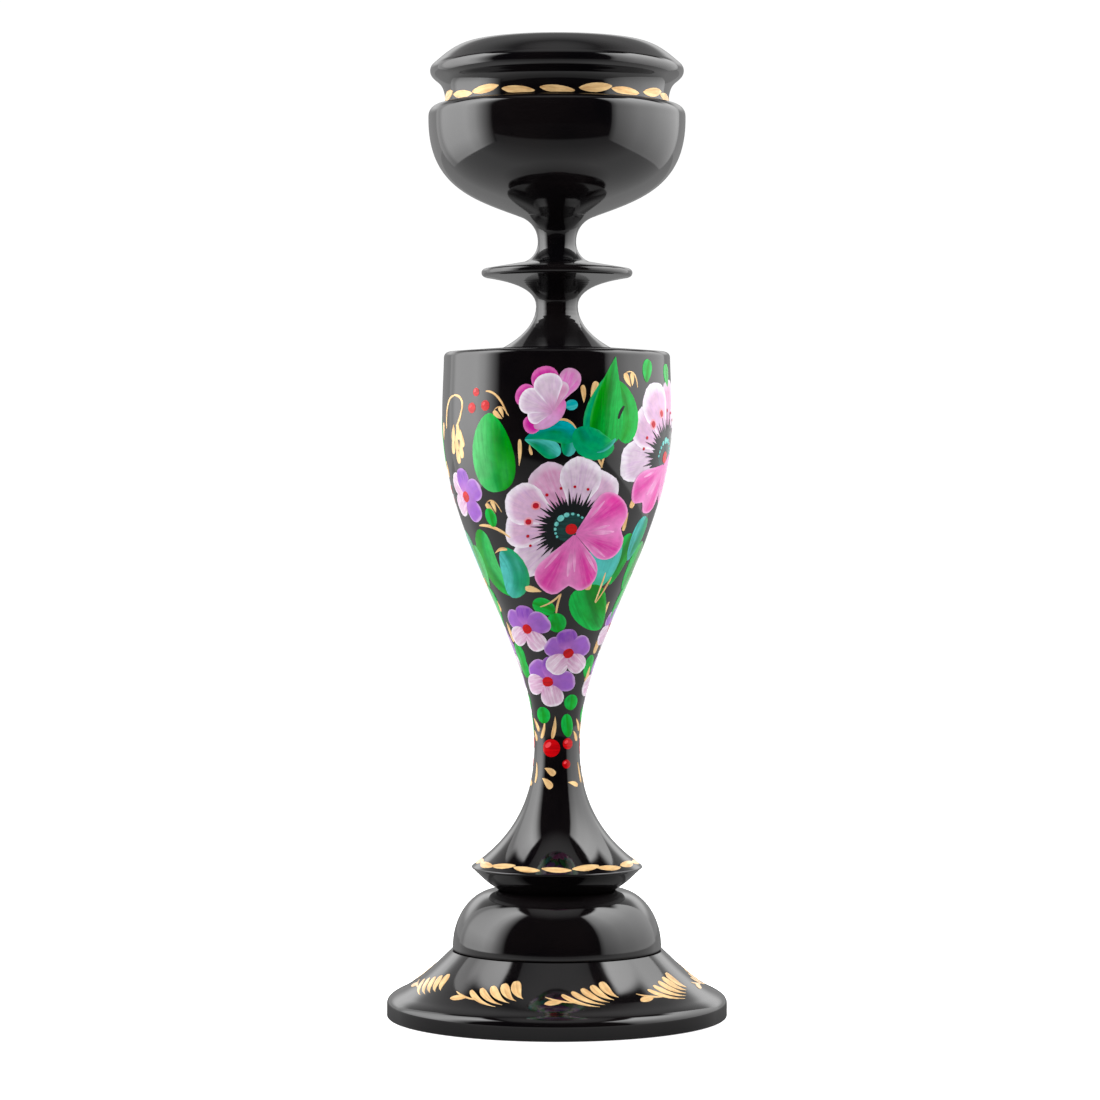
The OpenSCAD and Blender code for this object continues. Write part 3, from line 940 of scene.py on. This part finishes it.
def paint_cluster(azimuth):
    """Three small flowers with leaves, above a group of berries, for the vase's foot."""
    p, spot = painter, spots(azimuth, base=103.6)
    p.small_flower(spot(-23.4, 8.6, 4, 0.06), 1.2)
    p.small_flower(spot(26.6, 1.7, 16, 0.17), 1.18)
    p.small_flower(spot(-5, -6.6, -12, 0.06), 1.2)
    for shift, height, turn, length, width in (
            (-11, 16.2, 248, 6.6, 2.7), (8.5, 13.2, 192, 6, 2.8), (-52, 0.9, 184, 7, 2.2),
            (42.5, -10.4, 180, 4.6, 2.2), (-22, -14, 180, 4.8, 2.2), (33, -16, 188, 6.8, 1.8)):
        p.leaf_of(spot(shift, height, turn), length, width, SMALL_LEAF, 0, (0.5, 0.55))
    p.line(spot(7, 15.6), ((-3.6, -0.6), (0, 0.4), (2.4, 3.4)), 0.3)
    p.line(spot(7, 15.6), ((1, -2.8), (1.2, 0), (2.6, 3.6)), 0.3)
    p.drops(spot, (-19, -18, 196, 5.4, 0.55), (7, -16.6, 188, 6.6, 0.6),
            (62, -17.4, 150, 4.4, 0.6), (56, -21, 152, 3.4, 0.6), (-20, -31.6, 120, 3.8, 0.95),
            (-24, -34.4, 132, 4.4, 1), (36, -35.6, 108, 3.6, 0.7), (72, -30, 175, 6, 0.4),
            curl=-0.5)
    p.berries(spot, (-3.5, -25.8, 2.6), (40, -24.6, 1.6), (35, -30.4, 1.25))


def paint_gap(azimuth):
    """A leaf over three berries, and grains, between two groups."""
    p, spot = painter, spots(azimuth)
    p.leaf_of(spot(0, 157.5, 6), 19, 5, BRIGHT_LEAF, 1, (0.4, 0.8))
    p.berries(spot, (-4, 152.6, 1.4), (0.6, 148.8, 1.6), (6, 151.8, 1.3))
    p.drops(spot, (14, 166, 16, 5.2, 0.9), (12, 160, 172, 4.8, 0.8))


def paint_spray(azimuth, height):
    """A gold stem with grains on both sides."""
    spot = at(azimuth, height)
    painter.line(spot, ((-1.6, -7), (1.6, -2), (-0.4, 6)), 0.34)
    for u, v, heading in (
            (-0.4, 6, -4), (-0.1, 3.2, -48), (0.3, 1.6, 52), (0.5, -0.8, -58), (0.4, -2.4, 60)):
        painter.drop(spot, (u, v), heading, 4.6, 0.9, 0.4)


def paint_borders():
    """The rope of dashes on the ring and the rim, and the sprigs on the foot."""
    p = painter
    for canvas, height, count, length, width in (
            (vase, 44.9, 17, 8.7, 1.2), (neck, 263.7, 19, 10, 1.3)):
        for k in range(count):
            azimuth = 360 * k / count + rng.uniform(-1.5, 1.5)
            tilt = (5 if k % 2 else -5) + rng.uniform(-2, 2)
            p.drop(at(azimuth, height, canvas=canvas), (-length / 2, -0.02 * tilt), 90 - tilt,
                   length, width * rng.uniform(0.85, 1.05), 0.3, p.trim, (0.75, 0.75))
    for k in range(9):
        p.sprig(at(40 * k - 29 + rng.uniform(-2, 2), 11.4, canvas=slope), rng.uniform(1, 1.1))


paint_gap(-95)
paint_spray(113, 153)
paint_spray(190, 130)
painter.big_flower(at(8.5, 140.8))
painter.big_flower(at(72, 161, -34), 1.08, 0.82)
painter.big_flower(at(152, 142, 20))
painter.big_flower(at(222, 160.5, -28, -1), 1.03, 0.88)
paint_crown(0)
paint_crown(150, -1)
paint_side(75)
paint_side(226, -1)
paint_corner(-60)
for turn in (0, 120, 240):
    paint_cluster(turn - 11.3)
paint_borders()
painter.finish()


# ---------------- camera, floor and light

def level_at(place, rows):
    """A level interpolated between rows of a place and its level."""
    return np.interp(place, *zip(*rows))


def glow_panel(name, start, end, distance, across, up):
    """A flat light panel that stands on the floor beside the object.

    It reaches from one azimuth to another. Its brightness is a level by azimuth times one by
    elevation, and fades to 0 in its upper corner behind the object."""
    columns, rows = 48, 24
    high, below = 1.3, 0.02
    points, values, faces = [], [], []
    for i in range(columns + 1):
        azimuth = start + (end - start) * i / columns
        a = radians(azimuth)
        radius = distance / cos(radians(azimuth - (start + end) / 2))
        for j in range(rows + 1):
            z = (high + below) * j / rows - below
            points.append((radius * sin(a), -radius * cos(a), z))
            elevation = np.degrees(np.arctan2(z - MIDDLE, radius))
            corner = smooth(abs(azimuth), 115, 124) * smooth(elevation, 36, 46)
            values.append(level_at(azimuth, across) * level_at(elevation, up) * (1 - corner))
    for i in range(columns):
        for j in range(rows):
            k = i * (rows + 1) + j
            faces.append((k, k + 1, k + rows + 2, k + rows + 1))
    mesh = bpy.data.meshes.new(name)
    mesh.from_pydata(points, [], faces)
    attribute = mesh.attributes.new("glow", "FLOAT", "POINT")
    attribute.data.foreach_set("value", values)
    panel = new_object(name, mesh)
    n = Nodes(name)
    level = n.add("Attribute", attribute_name="glow").outputs["Fac"]
    scattered = n.add("LightPath").outputs["Is Diffuse Ray"]
    strength = n.math("MULTIPLY", level, n.remap(scattered, 0, 1, 1, 0.78))
    n.show(n.add("Emission", {"Strength": strength}).outputs[0])
    mesh.materials.append(n.material)
    panel.visible_camera = False


def studio_world():
    """A white studio behind and above the object, dark where the camera stands.

    Its back wall is brightest in a band a little above the horizon."""
    world = bpy.data.worlds.new("studio")
    world.use_nodes = True
    bpy.context.scene.world = world
    w = Tree(world.node_tree)
    w.tree.nodes.clear()
    way = w.add("SeparateXYZ", {0: w.add("TexCoord").outputs["Generated"]})
    back, up = way.outputs[1], way.outputs[2]

    def step(value, low, high, top):
        return w.remap(value, low, high, 0, top, interpolation_type="SMOOTHSTEP")

    wall = w.math("SUBTRACT", step(back, -0.05, 0.6, 1.15), step(up, 0.2, 0.7, 0.7))
    band = w.math("SUBTRACT", step(up, 0.12, 0.3, 1.5), step(up, 0.36, 0.5, 1.5))
    behind = w.math("ADD", wall, w.math("MULTIPLY", band, step(back, 0.55, 0.88, 1)))
    level = w.math("MAXIMUM", behind, step(up, 0.86, 1, 0.55))
    seen = w.add("LightPath").outputs["Is Camera Ray"]
    strength = w.add("Mix", {0: seen, 2: level, 3: 1.05}).outputs[0]
    background = w.add("Background", {"Color": grey(1), "Strength": strength})
    w.add("OutputWorld", {"Surface": background.outputs[0]})


def pale_floor():
    """A white sweep, lost in the backdrop. Its near edge is dark where the studio ends. In
    reflections the floor is a glow with painted shade on it: dimmer towards the camera, and a
    painted contact shadow round the foot.
    """
    bpy.ops.mesh.primitive_circle_add(vertices=96, radius=1.6, fill_type="NGON")
    floor = bpy.context.object
    floor.name = "floor"
    n = Nodes("floor_white")
    place = n.place()
    paper = n.noise(place, 300, 3)
    tone = n.mix(paper, grey(0.8), grey(0.84))
    # Painted shade: the floor seen in reflections glows less towards the camera, down to dark where
    # the studio ends.
    towards = n.remap(n.add("SeparateXYZ", {0: place}).outputs[1], 0, -0.6)
    front_shade_ramp = n.add("ValToRGB", {0: towards})
    stops = front_shade_ramp.color_ramp.elements
    levels = ((0, 0.85), (0.14, 0.85), (0.22, 0.72), (0.3, 0.58), (0.4, 0.47), (0.55, 0.34),
              (0.76, 0.28), (0.84, 0.02))
    while len(stops) < len(levels):
        stops.new(1)
    for stop, (position, level) in zip(stops, levels):
        stop.position = position
        stop.color = grey(level)
    # Painted contact shadow: near the foot the reflected glow drops to 0.4 of its strength.
    reach = n.add("VectorMath", {0: place}, operation="LENGTH").outputs["Value"]
    reflected_glow_painted_shade = n.add("Emission", {0: front_shade_ramp.outputs[0], 1: n.remap(reach, 0.05, 0.15, 0.4, 1)})
    # Camera rays see the evenly white floor, and other rays see the glow with its painted shade.
    seen = n.add("LightPath").outputs["Is Camera Ray"]
    n.finish(Base_Color=tone, Roughness=0.7, Emission_Color=grey(1), Emission_Strength=0.85)
    both = n.add("MixShader", {0: seen, 1: reflected_glow_painted_shade.outputs[0], 2: n.shader.outputs[0]})
    n.show(both.outputs[0])
    floor.data.materials.append(n.material)


def point_at(thing, place, target):
    """Puts a lamp or the camera at a place, and points it at a target."""
    thing.location = place
    way = Vector(target) - thing.location
    thing.rotation_euler = way.to_track_quat("-Z", "Y").to_euler()


glow_panel("left_softbox", start=-134, end=-58, distance=0.46,
           across=((-126, 1.6), (-120, 2.8), (-86, 5.4), (-76, 4.6), (-68, 2.4), (-58, 0)),
           up=((-12, 0.75), (0, 1), (30, 1.1), (50, 1.25), (59, 1.25), (61, 0)))
glow_panel("right_softbox", start=48, end=138, distance=0.42,
           across=((46, 0), (54, 1.6), (75, 2.6), (100, 2.6), (142, 1.6)),
           up=((-12, 0.75), (0, 1), (20, 1.4), (40, 2.1), (59, 2.5), (61, 0)))
studio_world()
pale_floor()

# A soft lamp lights the paint, without a reflection of its own in the lacquer.
lamp_data = bpy.data.lights.new("front_fill", "AREA")
lamp_data.shape = "DISK"
lamp_data.size = 0.8
lamp_data.energy = 12
lamp = new_object("front_fill", lamp_data)
point_at(lamp, (-0.35, -1.3, 0.75), (0, 0, MIDDLE))
lamp.visible_glossy = False

camera_data = bpy.data.cameras.new("camera")
camera_data.sensor_width = 36
camera_data.lens = 114.2
camera = new_object("camera", camera_data)
point_at(camera, (-0.002, -1.004, 0.1537), (-0.002, 0, 0.1344))
bpy.context.scene.camera = camera
bpy.context.scene.view_settings.view_transform = "Standard"
